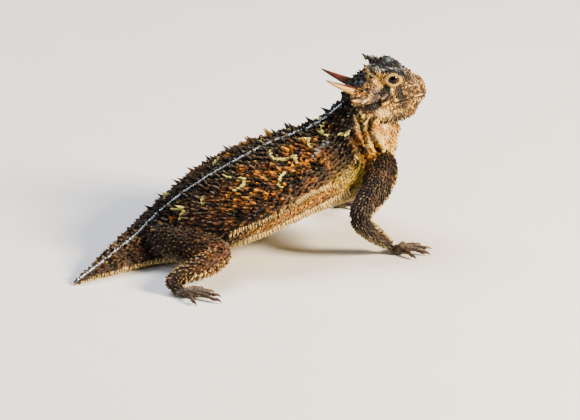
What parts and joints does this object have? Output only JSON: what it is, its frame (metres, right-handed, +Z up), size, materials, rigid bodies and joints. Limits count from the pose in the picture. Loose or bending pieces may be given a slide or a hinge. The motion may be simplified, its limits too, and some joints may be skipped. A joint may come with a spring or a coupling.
{
  "type": "horned lizard model",
  "caption": "Still life-size model of a spiny, flat-bodied horned lizard raised on its forelegs with its head level and its tail on the ground.",
  "frame": {"origin": "middle of the footprint box on the floor the lizard stands on", "axes": "+X forward along the body towards the snout, +Y to the animal's left, +Z up"},
  "size_m": [0.1064, 0.083, 0.0504],
  "materials": {
    "trunk_skin": "matt scaly hide, dark brown with pale-edged blotches",
    "head_skin": "matt scaly hide, warm tan with dark bars",
    "limb_skin": "matt scaly hide, dark brown with pale scale tips",
    "horn": "polished keratin, red-brown with a dark tip",
    "eye": "wet dark eye"
  },
  "bodies": {
    "root": {"eye_left": "eye", "eye_right": "eye", "foot_left": "limb_skin", "foot_right": "limb_skin", "forearm_left": "limb_skin", "forearm_right": "limb_skin", "hand_left": "limb_skin", "hand_right": "limb_skin", "head": "head_skin", "neck": "head_skin", "occipital_horn_left": "horn", "occipital_horn_right": "horn", "shank_left": "limb_skin", "shank_right": "limb_skin", "tail_base": "trunk_skin", "tail_mid": "trunk_skin", "tail_tip": "trunk_skin", "temporal_horn_1_left": "horn", "temporal_horn_1_right": "horn", "temporal_horn_2_left": "horn", "temporal_horn_2_right": "horn", "temporal_horn_3_left": "horn", "temporal_horn_3_right": "horn", "thigh_left": "limb_skin", "thigh_right": "limb_skin", "trunk_fore": "trunk_skin", "trunk_rear": "trunk_skin", "upper_arm_left": "limb_skin", "upper_arm_right": "limb_skin"}
  },
  "joints": []
}
